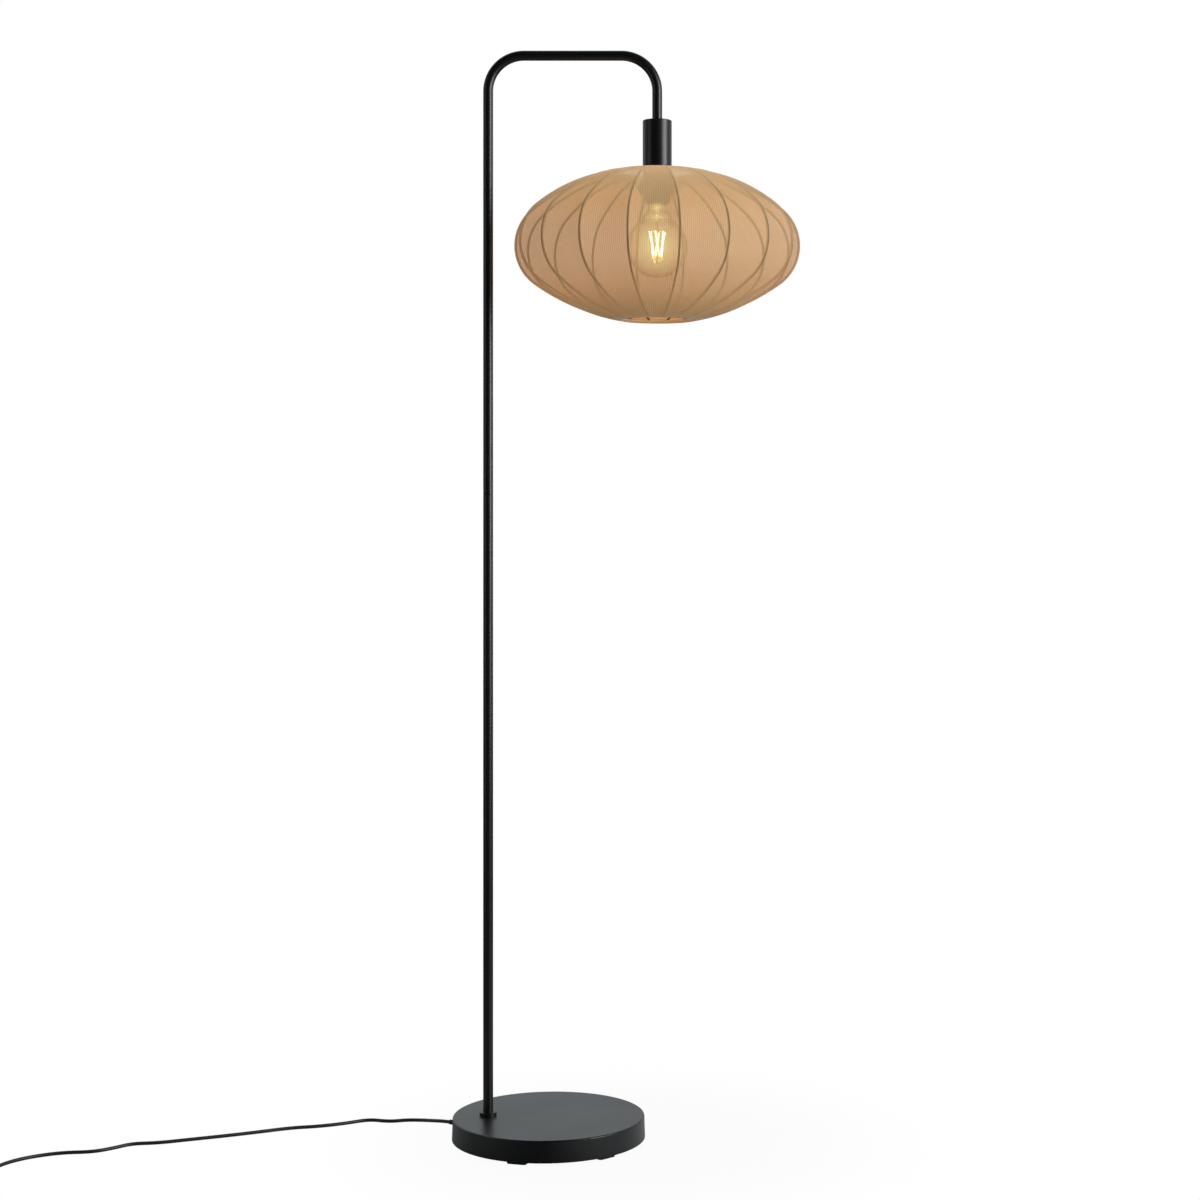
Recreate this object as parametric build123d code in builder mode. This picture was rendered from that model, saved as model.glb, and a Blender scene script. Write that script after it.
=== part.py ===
"""Floor lamp with a round base, an arched tube and a ribbed fabric shade.

Millimetres, +Z up. The origin is on the floor, under the middle of the lamp's own outline. The arch runs
towards +X, where the shade hangs, and the front of the lamp faces -Y. The mains lead leaves the base at
the back left, lies along the floor to a foot switch and ends in a coil with its plug.
"""

from math import acos, asin, cos, degrees, radians, sin, tan
import os

from build123d import *

os.makedirs("parts", exist_ok=True)

# Main sizes of the lamp
shade_radius = 200.0
base_radius = 135.0
shade_reach = 152.0
pole_setback = 85.0
arch_height = 1520.0
bend_radius = 50.0

# Clearances and edge breaks that many pieces share
slip_fit = 0.05
free_fit = 0.3
edge_break = 0.8

# Upright axes: the outline, from the base's left edge to the shade's right edge, is centred on the origin
base_x = -(shade_reach + shade_radius - base_radius) / 2
shade_x = base_x + shade_reach
pole_x = base_x - pole_setback

# Base
pad_height = 5.0
pad_length = 30.0
pad_width = 14.0
pad_inset = 14.0
pad_turn = 13.5
pad_count = 6
pad_corner = 5.0
pad_taper = 14.0
base_top = 35.0
base_draft = 1.0
base_edge_radius = 2.0
base_sheet = 1.2
plate_clearance = 0.5
plate_notch = 6.5
weight_thickness = 11.0
weight_radius = 131.0
weight_chamfer = 2.0
boss_count = 4
boss_radius = 6.0
boss_circle = 96.0
boss_turn = 43.5
screw_radius = 2.0
screw_length = 9.0
screw_hole_depth = 10.0
screw_head_radius = 4.0
screw_head_height = 2.2

# Tubes and the threaded fittings inside them
tube_radius = 7.0
tube_bore = 5.8
section_length = 426.0
top_joint = 1331.0
joint_chamfer = 0.4
insert_length = 16.0
bush_setback = 0.4
thread_radius = 5.0
thread_clearance = 0.1
nipple_bore = 3.5
nipple_stub = 0.5
nipple_spare = 4.0
nipple_setback = 2.0
collar_radius = 12.0
collar_height = 5.0
collar_recess = 3.0
nut_across_flats = 17.0
nut_height = 4.5
washer_radius = 15.0
washer_height = 1.6

# Lampholder and the cup that hides it
cup_radius = 20.4
cup_wall = 1.2
cup_roof = 2.0
cup_edge_radius = 1.2
cup_top = 1429.0
cup_foot = 1340.5
cup_washer_radius = 10.0
holder_mouth = 1313.0
holder_skirt_radius = 18.9
holder_body_radius = 18.2
holder_top = 1388.0
holder_bore = 14.2
holder_neck_radius = 8.5
holder_neck = 9.0
holder_shoulder = 8.0
skirt_rise = 2.0
lip_height = 7.0
lip_radius = 17.0
lip_bore = 15.2
thread_depth = 10.0
shell_radius = 13.8
shell_sheet = 0.5
shell_opening = 11.0
shell_setback = 4.0
shell_gap = 0.4
tongue_width = 5.0
tongue_sheet = 0.5
tongue_drop = 3.6
ring_radius = 27.0
ring_bore = 19.0
ring_height = 12.0
ring_rim = 7.0
ring_draft = 3.0
grip_count = 12
grip_scoop = 2.6
grip_scoop_setback = 1.2

# Shade: the outline of a rib is three arcs that meet smoothly, widest at the middle height
rib_count = 18
shade_middle = 1253.7
middle_arc = 67.0
upper_arc = 239.5
lower_arc = 292.0
upper_join = 50.6
lower_join = 54.5
cloth = 0.6
seam_gap = 0.2
rib_wire = 1.25
rib_inset = 2.05
ring_wire = 1.5
ring_inset = 2.4
top_ring_radius = 52.0
bottom_ring_radius = 52.0
fitter_outer = 26.0
fitter_inner = 19.4
fitter_thickness = 2.5
fitter_arm_wire = 1.2
fitter_arm_count = 3
fitter_arm_turn = 30.0
fitter_arm_bend = 5.0
fitter_arm_flat = 9.0
fitter_arm_lap = 2.0
fitter_arm_end = 6.0
cloth_lap = 1.0

# Bulb
globe_radius = 43.0
globe_middle = 1251.7
neck_radius = 13.0
neck_blend = 15.0
glass = 0.8
cap_radius = 12.9
cap_foot = 1311.5
cap_length = 22.0
cap_edge = 2.0
cap_edge_height = 1.0
insulator_foot_radius = 10.4
insulator_height = 2.0
contact_radius = 4.5
contact_top_radius = 2.5
contact_height = 1.0
stem_flare_radius = 9.0
stem_flare = 9.0
stem_radius = 4.5
stem_waist = 3.0
stem_button = 3.6
filament_count = 6
filament_width = 1.7
filament_top = 1273.0
filament_foot = 1231.0
filament_top_radius = 11.5
filament_foot_radius = 6.0
filament_turn = 18.0
filament_twist = 55.0
stem_foot = 1288.0
support_radius = 0.7
support_post = 1.0
support_lift = 0.85

# Mains lead
cord_radius = 2.5
cord_sides = 8
exit_turn = 158.0
exit_height = 10.0
exit_run = 21.0
exit_bend = 20.0
pole_bend = 7.4
lead_end = 14.0
grip_length = 22.0
grip_neck_radius = 3.6
grip_flange_radius = 4.7
grip_root_radius = 4.4
grip_tip_radius = 3.3
grip_flange = 1.6
coil_turn_step = 5.5
coil_radius = 37.0
coil_half_turns = 5
climb_inset = 1.0
tie_thickness = 1.0
tie_width = 6.0
tie_slack = 0.4
tie_corner = 2.5

# Foot switch and plug
switch_length = 80.0
switch_width = 36.0
switch_height = 20.0
switch_split = 6.5
switch_wall = 2.0
switch_corner = 12.0
switch_taper = 6.0
switch_edge_radius = 2.5
switch_foot_chamfer = 1.0
button_foot = 12.5
button_radius = 11.0
button_clearance = 0.4
button_rise = 4.0
button_travel = 3.0
button_edge_radius = 1.5
button_rim = 1.6
button_rim_height = 1.5
block_width = 18.0
block_length = 30.0
block_gap = 0.5
sleeve_length = 14.0
sleeve_tip_radius = 3.3
sleeve_root_radius = 4.5
plug_length = 34.0
plug_width = 35.0
plug_thickness = 15.0
plug_corner = 6.5
plug_neck_width = 13.0
plug_neck_thickness = 11.0
plug_neck_corner = 4.5
plug_shoulder = 14.0
plug_shoulder_width = 26.0
plug_shoulder_thickness = 13.5
plug_shoulder_corner = 5.5
plug_sleeve_length = 22.0
plug_sleeve_root = 4.7
pin_radius = 2.0
pin_length = 19.0
pin_spacing = 18.6


def upright_plane(x, y=0.0, turn=0.0):
    """An upright plane through the axis at x, y: its X runs outwards at the turn and its Y runs up."""
    a = radians(turn)
    return Plane(origin=(x, y, 0), x_dir=(cos(a), sin(a), 0), z_dir=(sin(a), -cos(a), 0))


def upright_axis(x):
    return Axis((x, 0, 0), (0, 0, 1))


def tube(x, low, high, outer, bore):
    """A straight upright tube on the axis at x."""
    with BuildPart() as piece:
        with BuildSketch(Plane.XY.offset(low)):
            with Locations((x, 0)):
                Circle(outer)
                Circle(bore, mode=Mode.SUBTRACT)
        extrude(amount=high - low)
    return piece


def turned(x, outline):
    """A solid turned about the upright axis at x from an outline of radius and height points."""
    with BuildPart() as piece:
        with BuildSketch(upright_plane(x)):
            with BuildLine():
                Polyline(*outline, close=True)
            make_face()
        revolve(axis=upright_axis(x))
    return piece


def hexagon_nut(x, low):
    with BuildPart() as piece:
        with BuildSketch(Plane.XY.offset(low)):
            with Locations((x, 0)):
                RegularPolygon(nut_across_flats / 2, 6, major_radius=False)
                Circle(thread_radius, mode=Mode.SUBTRACT)
        extrude(amount=nut_height)
    return piece


# Base: a drawn steel cover over a cast weight, closed below by a plate on four screws
inner_top = base_top - base_sheet
with BuildPart() as base_cover:
    with BuildSketch(upright_plane(base_x)):
        with BuildLine():
            Polyline(
                (0, base_top),
                (base_radius - base_draft, base_top),
                (base_radius, pad_height),
                (base_radius - base_sheet, pad_height),
                (base_radius - base_draft - base_sheet, inner_top),
                (0, inner_top),
                close=True,
            )
        make_face()
    revolve(axis=upright_axis(base_x))
    rims = base_cover.edges().filter_by(GeomType.CIRCLE)
    fillet(rims.filter_by_position(Axis.Z, base_top - 0.1, base_top + 0.1), base_edge_radius)
    inner_rims = base_cover.edges().filter_by(GeomType.CIRCLE)
    fillet(
        inner_rims.filter_by_position(Axis.Z, inner_top - 0.1, inner_top + 0.1),
        base_edge_radius - base_sheet,
    )
    with Locations(Plane((pole_x, 0, base_top))):
        Hole(thread_radius + thread_clearance, depth=2 * base_sheet)
    exit_out = (cos(radians(exit_turn)), sin(radians(exit_turn)), 0)
    exit_plane = Plane(
        origin=(base_x + base_radius * exit_out[0], base_radius * exit_out[1], exit_height),
        z_dir=exit_out,
    )
    with Locations(exit_plane.offset(base_sheet)):
        Hole(grip_neck_radius + thread_clearance, depth=4 * base_sheet)

with BuildPart() as base_weight:
    weight_foot = inner_top - weight_thickness
    with BuildSketch(Plane.XY.offset(weight_foot)):
        with Locations((base_x, 0)):
            Circle(weight_radius)
        with Locations((pole_x, 0)):
            Circle(thread_radius + free_fit, mode=Mode.SUBTRACT)
    extrude(amount=weight_thickness)
    chamfer(base_weight.faces().sort_by(Axis.Z)[0].outer_wire().edges(), weight_chamfer)
    with BuildSketch(Plane.XY.offset(pad_height + base_sheet)):
        with Locations((base_x, 0)):
            with PolarLocations(boss_circle, boss_count, start_angle=boss_turn):
                Circle(boss_radius)
    extrude(amount=weight_foot - pad_height - base_sheet)
    with Locations(Plane((base_x, 0, pad_height + base_sheet), z_dir=(0, 0, -1))):
        with PolarLocations(boss_circle, boss_count, start_angle=-boss_turn):
            Hole(screw_radius + slip_fit, depth=screw_hole_depth)

notch_reach = base_radius - base_sheet - grip_flange
with BuildPart() as base_plate:
    with BuildSketch(Plane.XY.offset(pad_height)):
        with Locations((base_x, 0)):
            Circle(base_radius - base_sheet - plate_clearance)
            with PolarLocations(boss_circle, boss_count, start_angle=boss_turn):
                Circle(screw_radius + free_fit, mode=Mode.SUBTRACT)
        with Locations((base_x + notch_reach * exit_out[0], notch_reach * exit_out[1])):
            Circle(plate_notch, mode=Mode.SUBTRACT)
    extrude(amount=base_sheet)

with BuildPart() as base_plate_screws:
    with BuildSketch(Plane.XY.offset(pad_height - screw_head_height)):
        with Locations((base_x, 0)):
            with PolarLocations(boss_circle, boss_count, start_angle=boss_turn):
                Circle(screw_head_radius)
    extrude(amount=screw_head_height)
    with BuildSketch(Plane.XY.offset(pad_height)):
        with Locations((base_x, 0)):
            with PolarLocations(boss_circle, boss_count, start_angle=boss_turn):
                Circle(screw_radius)
    extrude(amount=screw_length)
    chamfer(base_plate_screws.faces().group_by(Axis.Z)[0].edges(), edge_break)

with BuildPart() as base_pads:
    with BuildSketch(Plane.XY.offset(pad_height)):
        with Locations((base_x, 0)):
            with PolarLocations(base_radius - pad_inset, pad_count, start_angle=pad_turn):
                RectangleRounded(pad_width, pad_length, pad_corner)
    extrude(amount=-pad_height, taper=pad_taper)

# Foot of the pole: a threaded nipple through cover and weight, a collar above, washer and nut below
pole_foot = base_top + collar_height - collar_recess
washer_foot = weight_foot - washer_height
nut_foot = washer_foot - nut_height
with BuildPart() as pole_collar:
    with BuildSketch(Plane.XY.offset(base_top)):
        with Locations((pole_x, 0)):
            Circle(collar_radius)
            Circle(thread_radius + thread_clearance, mode=Mode.SUBTRACT)
    extrude(amount=collar_height)
    with BuildSketch(Plane.XY.offset(pole_foot)):
        with Locations((pole_x, 0)):
            Circle(tube_radius + slip_fit)
    extrude(amount=collar_recess, mode=Mode.SUBTRACT)
    rim = pole_collar.edges().group_by(Axis.Z)[-1].sort_by(SortBy.LENGTH)[-1]
    chamfer(rim, edge_break)

nipple_radius = thread_radius - thread_clearance
nipple_top = pole_foot + insert_length + nipple_spare
base_nipple = tube(pole_x, nut_foot - nipple_stub, nipple_top, nipple_radius, nipple_bore)
base_washer = tube(pole_x, washer_foot, weight_foot, washer_radius, thread_radius + free_fit)
base_nut = hexagon_nut(pole_x, nut_foot)

# Pole: three straight sections below the arch, screwed together end to end
joints = [top_joint - 2 * section_length, top_joint - section_length, top_joint]


def pole_section(low, high):
    """A length of pole with its outer ends chamfered, so that each joint shows as a fine groove."""
    with BuildPart() as section:
        with BuildSketch(Plane.XY.offset(low)):
            with Locations((pole_x, 0)):
                Circle(tube_radius)
                Circle(tube_bore, mode=Mode.SUBTRACT)
        extrude(amount=high - low)
        for end in (0, -1):
            edge = section.edges().group_by(Axis.Z)[end].sort_by(SortBy.LENGTH)[-1]
            chamfer(edge, joint_chamfer)
    return section


pole_lower = pole_section(pole_foot, joints[0])
pole_middle = pole_section(joints[0], joints[1])
pole_upper = pole_section(joints[1], joints[2])

with BuildPart() as arch_tube:
    with BuildLine() as arch_line:
        FilletPolyline(
            (pole_x, 0, top_joint),
            (pole_x, 0, arch_height),
            (shade_x, 0, arch_height),
            (shade_x, 0, cup_top),
            radius=bend_radius,
        )
    with BuildSketch(Plane.XY.offset(top_joint)):
        with Locations((pole_x, 0)):
            Circle(tube_radius)
            Circle(tube_bore, mode=Mode.SUBTRACT)
    sweep(path=arch_line.wire())
    end_edge = arch_tube.edges().group_by(Axis.Z)[0].sort_by(SortBy.LENGTH)[-1]
    chamfer(end_edge, joint_chamfer)

# Threaded bushes pressed into the tube ends, and the hollow nipples that join them
bush_places = [(pole_x, pole_foot + bush_setback)]
for joint in joints:
    bush_places += [(pole_x, joint - bush_setback - insert_length), (pole_x, joint + bush_setback)]
bush_places.append((shade_x, cup_top + bush_setback))
with BuildPart() as thread_bushes:
    for x, low in bush_places:
        with BuildSketch(Plane.XY.offset(low)):
            with Locations((x, 0)):
                Circle(tube_bore)
                Circle(thread_radius, mode=Mode.SUBTRACT)
        extrude(amount=insert_length)

with BuildPart() as joint_nipples:
    for joint in joints:
        with BuildSketch(Plane.XY.offset(joint - insert_length + nipple_setback)):
            with Locations((pole_x, 0)):
                Circle(nipple_radius)
                Circle(nipple_bore, mode=Mode.SUBTRACT)
        extrude(amount=2 * (insert_length - nipple_setback))

# Cup: a closed top on the end of the arch, open below, with its nut, washer and long nipple
roof_foot = cup_top - cup_roof
with BuildPart() as holder_cup:
    with BuildSketch(upright_plane(shade_x)):
        with BuildLine():
            Polyline(
                (thread_radius + thread_clearance, cup_top),
                (cup_radius, cup_top),
                (cup_radius, cup_foot),
                (cup_radius - cup_wall, cup_foot),
                (cup_radius - cup_wall, roof_foot),
                (thread_radius + thread_clearance, roof_foot),
                close=True,
            )
        make_face()
    revolve(axis=upright_axis(shade_x))
    rim = holder_cup.edges().group_by(Axis.Z)[-1].sort_by(SortBy.LENGTH)[-1]
    fillet(rim, cup_edge_radius)

cup_washer_foot = roof_foot - washer_height
cup_washer = tube(
    shade_x, cup_washer_foot, roof_foot, cup_washer_radius, thread_radius + free_fit
)
cup_nut = hexagon_nut(shade_x, cup_washer_foot - nut_height)
cup_nipple = tube(
    shade_x, holder_top - thread_depth, cup_top + insert_length, nipple_radius, nipple_bore
)

# Lampholder: moulded body with a threaded skirt, brass screw shell, sprung contact and terminals
with BuildPart() as holder_body:
    with BuildSketch(upright_plane(shade_x)):
        with BuildLine():
            Polyline(
                (thread_radius, holder_top),
                (holder_neck_radius, holder_top),
                (holder_neck_radius, holder_top - holder_neck),
                (holder_body_radius, holder_top - holder_neck - holder_shoulder),
                (holder_body_radius, cup_foot + skirt_rise + edge_break),
                (holder_skirt_radius, cup_foot + skirt_rise),
                (holder_skirt_radius, holder_mouth + lip_height),
                (lip_radius, holder_mouth),
                (lip_bore, holder_mouth),
                (holder_bore, holder_mouth + lip_bore - holder_bore),
                (holder_bore, cup_foot),
                (thread_radius, cup_foot),
                close=True,
            )
        make_face()
    revolve(axis=upright_axis(shade_x))

shell_top = cup_foot - shell_gap
holder_shell = turned(
    shade_x,
    [
        (shell_radius - shell_sheet, holder_mouth + shell_setback),
        (shell_radius, holder_mouth + shell_setback),
        (shell_radius, shell_top),
        (shell_opening, shell_top),
        (shell_opening, shell_top - shell_sheet),
        (shell_radius - shell_sheet, shell_top - shell_sheet),
    ],
)

with BuildPart() as holder_contact:
    with BuildSketch(Plane.XZ.offset(tongue_width / 2)):
        with BuildLine():
            tongue = Polyline(
                (shade_x - 7, cup_foot - tongue_sheet),
                (shade_x - 5, cup_foot - tongue_sheet),
                (shade_x, cup_foot - tongue_drop),
                (shade_x + 4, cup_foot - tongue_drop + 1),
            )
            offset(tongue, amount=tongue_sheet / 2)
        make_face()
    extrude(amount=-tongue_width)

# Shade ring: a threaded ring with finger grips that clamps the shade's fitter against the cup
ring_top = cup_foot - fitter_thickness
ring_foot = ring_top - ring_height
with BuildPart() as shade_ring:
    with BuildSketch(upright_plane(shade_x)):
        with BuildLine():
            Polyline(
                (ring_bore, ring_top),
                (ring_radius, ring_top),
                (ring_radius, ring_top - ring_rim),
                (ring_radius - ring_draft, ring_foot),
                (ring_bore, ring_foot),
                close=True,
            )
        make_face()
    revolve(axis=upright_axis(shade_x))
    with BuildSketch(Plane.XY.offset(ring_foot)):
        with Locations((shade_x, 0)):
            with PolarLocations(ring_radius + grip_scoop_setback, grip_count):
                Circle(grip_scoop)
    extrude(amount=ring_height, mode=Mode.SUBTRACT)


def outline_arcs(inset, squeeze=1.0):
    """The three arcs of a rib, moved in by the inset, each as centre radius, centre height and radius.

    The squeeze draws the outline in towards the axis, for the flat middle of a cloth panel.
    """
    middle_centre = shade_radius - middle_arc
    up, down = radians(upper_join), radians(lower_join)
    upper_shift, lower_shift = upper_arc - middle_arc, lower_arc - middle_arc
    return [
        (
            squeeze * (middle_centre - upper_shift * cos(up)),
            shade_middle - upper_shift * sin(up),
            upper_arc - inset,
        ),
        (squeeze * middle_centre, shade_middle, middle_arc - inset),
        (
            squeeze * (middle_centre - lower_shift * cos(down)),
            shade_middle + lower_shift * sin(down),
            lower_arc - inset,
        ),
    ]


def draw_outline(inset, top_radius, bottom_radius, squeeze=1.0):
    """Draws a rib's outline in the open line, between two radii near the axis."""
    upper, middle, lower = outline_arcs(inset, squeeze)
    top_angle = degrees(acos((squeeze * top_radius - upper[0]) / (squeeze * upper[2])))
    bottom_angle = -degrees(acos((squeeze * bottom_radius - lower[0]) / (squeeze * lower[2])))
    spans = [
        (upper, upper_join, top_angle),
        (middle, -lower_join, upper_join),
        (lower, bottom_angle, -lower_join),
    ]
    for (centre, height, radius), start, end in spans:
        if squeeze == 1.0:
            CenterArc((centre, height), radius, start, end - start)
        else:
            EllipticalCenterArc(
                (centre, height), squeeze * radius, radius, start, arc_size=end - start
            )


def outline_end(inset, radius, upper=True):
    """Height of a rib's outline at a radius near its top or its bottom end."""
    centre, height, arc = outline_arcs(inset)[0 if upper else 2]
    rise = arc * sin(acos((radius - centre) / arc))
    return height + rise if upper else height - rise


# Shade frame: a top ring on a three-armed fitter, a bottom ring and the wire ribs between them
top_ring_height = outline_end(ring_inset, top_ring_radius)
bottom_ring_height = outline_end(ring_inset, bottom_ring_radius, upper=False)
rib_gap = ring_wire + 0.1
arm_height = ring_top + fitter_thickness / 2
arm_start = fitter_outer - fitter_arm_lap

with BuildPart() as fitter_arm:
    with BuildLine() as arm_line:
        FilletPolyline(
            (arm_start, 0, arm_height),
            (fitter_outer + fitter_arm_flat, 0, arm_height),
            (top_ring_radius - fitter_arm_end, 0, top_ring_height),
            (top_ring_radius, 0, top_ring_height),
            radius=fitter_arm_bend,
        )
    with BuildSketch(Plane.YZ.offset(arm_start)):
        with Locations((0, arm_height)):
            RegularPolygon(fitter_arm_wire, 8, rotation=22.5)
    sweep(path=arm_line.wire())

with BuildPart() as shade_fitter:
    with BuildSketch(Plane.XY.offset(ring_top)):
        with Locations((shade_x, 0)):
            Circle(fitter_outer)
            Circle(fitter_inner, mode=Mode.SUBTRACT)
    extrude(amount=fitter_thickness)
    with BuildSketch(upright_plane(shade_x)):
        with Locations((top_ring_radius, top_ring_height)):
            RegularPolygon(ring_wire, 8, rotation=22.5)
    revolve(axis=upright_axis(shade_x))
    with Locations((shade_x, 0, 0)):
        with PolarLocations(0, fitter_arm_count, start_angle=fitter_arm_turn):
            add(fitter_arm.part)

with BuildPart() as shade_bottom_ring:
    with BuildSketch(upright_plane(shade_x)):
        with Locations((bottom_ring_radius, bottom_ring_height)):
            RegularPolygon(ring_wire, 8, rotation=22.5)
    revolve(axis=upright_axis(shade_x))

with BuildPart() as rib:
    with BuildLine(Plane.XZ) as rib_line:
        draw_outline(rib_inset, top_ring_radius + rib_gap, bottom_ring_radius + rib_gap)
    with BuildSketch(Plane(rib_line.wire() @ 0, z_dir=rib_line.wire() % 0)):
        RegularPolygon(rib_wire, 6)
    sweep(path=rib_line.wire())

with BuildPart() as shade_ribs:
    with Locations((shade_x, 0, 0)):
        with PolarLocations(0, rib_count):
            add(rib.part)

# Shade cover: one cloth panel between each pair of ribs, flat across and curved down its length, with a
# narrow seam between it and the next
half_gore = 180 / rib_count
flat = cos(radians(half_gore))
cloth_top, cloth_foot = top_ring_radius - cloth_lap, bottom_ring_radius - cloth_lap
with BuildPart() as gore:
    with BuildSketch(Plane.XZ):
        with BuildLine():
            draw_outline(0, cloth_top, cloth_foot, flat)
            draw_outline(cloth, cloth_top, cloth_foot, flat)
            for radius, end in ((cloth_top, True), (cloth_foot, False)):
                Line(
                    (flat * radius, outline_end(0, radius, end)),
                    (flat * radius, outline_end(cloth, radius, end)),
                )
        make_face()
    extrude(amount=shade_radius * tan(radians(half_gore)) + cloth_lap, both=True)
    for side in (1, -1):
        turn = radians(side * half_gore)
        across = Vector(-side * sin(turn), side * cos(turn), 0)
        split(bisect_by=Plane(across * -seam_gap, z_dir=across), keep=Keep.BOTTOM)

with BuildPart() as shade_cover:
    with Locations((shade_x, 0, 0)):
        with PolarLocations(0, rib_count, start_angle=half_gore):
            add(gore.part)

# Bulb: a glass globe with a screw cap, a stem and six slanting filaments


def draw_globe(shrink, top):
    """Draws half the globe's outline, from its lowest point to the top of its neck."""
    round_radius, neck, blend = globe_radius - shrink, neck_radius - shrink, neck_blend + shrink
    rise = ((round_radius + blend) ** 2 - (neck + blend) ** 2) ** 0.5
    share = round_radius / (round_radius + blend)
    meet = (share * (neck + blend), globe_middle + share * rise)
    angle = degrees(asin(share * rise / round_radius))
    CenterArc((0, globe_middle), round_radius, -90, 90 + angle)
    neck_foot = (neck, globe_middle + rise)
    RadiusArc(meet, neck_foot, -blend)
    Line(neck_foot, (neck, top))


with BuildPart() as bulb_globe:
    with BuildSketch(upright_plane(shade_x)):
        with BuildLine():
            draw_globe(0, cap_foot)
            draw_globe(glass, cap_foot)
            Line((0, globe_middle - globe_radius), (0, globe_middle - globe_radius + glass))
            Line((neck_radius - glass, cap_foot), (neck_radius, cap_foot))
        make_face()
    revolve(axis=upright_axis(shade_x))

cap_top = cap_foot + cap_length
bulb_cap = turned(
    shade_x,
    [
        (0, cap_foot),
        (cap_radius, cap_foot),
        (cap_radius, cap_top - cap_edge_height),
        (cap_radius - cap_edge, cap_top),
        (0, cap_top),
    ],
)
insulator_top = cap_top + insulator_height
bulb_insulator = turned(
    shade_x,
    [
        (0, cap_top),
        (insulator_foot_radius, cap_top),
        (contact_radius + 1, insulator_top),
        (0, insulator_top),
    ],
)
bulb_contact = turned(
    shade_x,
    [
        (0, insulator_top),
        (contact_radius, insulator_top),
        (contact_top_radius, insulator_top + contact_height),
        (0, insulator_top + contact_height),
    ],
)

bulb_stem = turned(
    shade_x,
    [
        (0, cap_foot),
        (stem_flare_radius, cap_foot),
        (stem_radius, cap_foot - stem_flare),
        (stem_waist, stem_foot + 2),
        (stem_button, stem_foot),
        (0, stem_foot - 1),
    ],
)


def filament_end(number, top):
    """The upper or the lower end of one filament."""
    radius, height = (filament_top_radius, filament_top) if top else (filament_foot_radius, filament_foot)
    turn = radians(filament_turn + 360 / filament_count * number + (0 if top else filament_twist))
    return Vector(shade_x + radius * cos(turn), radius * sin(turn), height)


with BuildPart() as bulb_filaments:
    for number in range(filament_count):
        high, low = filament_end(number, True), filament_end(number, False)
        with BuildSketch(Plane(low, z_dir=high - low)):
            Rectangle(filament_width, filament_width)
        extrude(amount=(high - low).length)

# Filament supports: a wire down from the stem, with an arm to each end of every filament
with BuildPart() as bulb_supports:
    support_foot = filament_foot - support_radius
    with BuildSketch(Plane.XY.offset(support_foot)):
        with Locations((shade_x, 0)):
            RegularPolygon(support_post, 6)
    extrude(amount=stem_foot - 1 - support_foot)
    for number in range(filament_count):
        for top in (True, False):
            end = filament_end(number, top)
            lift = support_lift if top else -support_lift
            start = Vector(shade_x, 0, end.Z + lift)
            reach = Vector(end.X, end.Y, end.Z + lift) - start
            with BuildSketch(Plane(start, z_dir=reach)):
                RegularPolygon(support_radius, 6)
            extrude(amount=reach.length)

# Mains lead inside the lamp: in through the base, up the pole, over the arch and down to the holder
grip_end = base_radius + grip_length
turn_in = base_radius - exit_run
lead_low = pad_height + base_sheet + cord_radius + thread_clearance
inner_points = [
    (base_x + grip_end * exit_out[0], grip_end * exit_out[1], exit_height),
    (base_x + turn_in * exit_out[0], turn_in * exit_out[1], exit_height),
    (pole_x, 0, lead_low),
    (pole_x, 0, arch_height),
    (shade_x, 0, arch_height),
    (shade_x, 0, holder_top - lead_end),
]
with BuildPart() as inner_lead:
    with BuildLine() as inner_line:
        FilletPolyline(*inner_points, radius=[exit_bend, pole_bend, bend_radius, bend_radius])
    with BuildSketch(Plane(inner_line.wire() @ 0, z_dir=inner_line.wire() % 0)):
        RegularPolygon(cord_radius, cord_sides)
    sweep(path=inner_line.wire())

# Cord grip: a tapered rubber sleeve with a flange on each side of the base's rim
grip_bore = cord_radius + thread_clearance
wall_inside, wall_outside = base_radius - base_draft - base_sheet - slip_fit, base_radius + slip_fit
with BuildPart() as cord_grip:
    with BuildSketch(
        Plane(
            origin=(base_x, 0, exit_height),
            x_dir=exit_out,
            z_dir=(exit_out[1], -exit_out[0], 0),
        )
    ):
        with BuildLine():
            Polyline(
                (wall_inside - grip_flange, grip_bore),
                (wall_inside - grip_flange, grip_flange_radius),
                (wall_inside, grip_flange_radius),
                (wall_inside, grip_neck_radius),
                (wall_outside, grip_neck_radius),
                (wall_outside, grip_flange_radius),
                (wall_outside + grip_flange, grip_flange_radius),
                (wall_outside + grip_flange, grip_root_radius),
                (grip_end, grip_tip_radius),
                (grip_end, grip_bore),
                close=True,
            )
        make_face()
    revolve(axis=Axis((base_x, 0, exit_height), exit_out))

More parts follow.
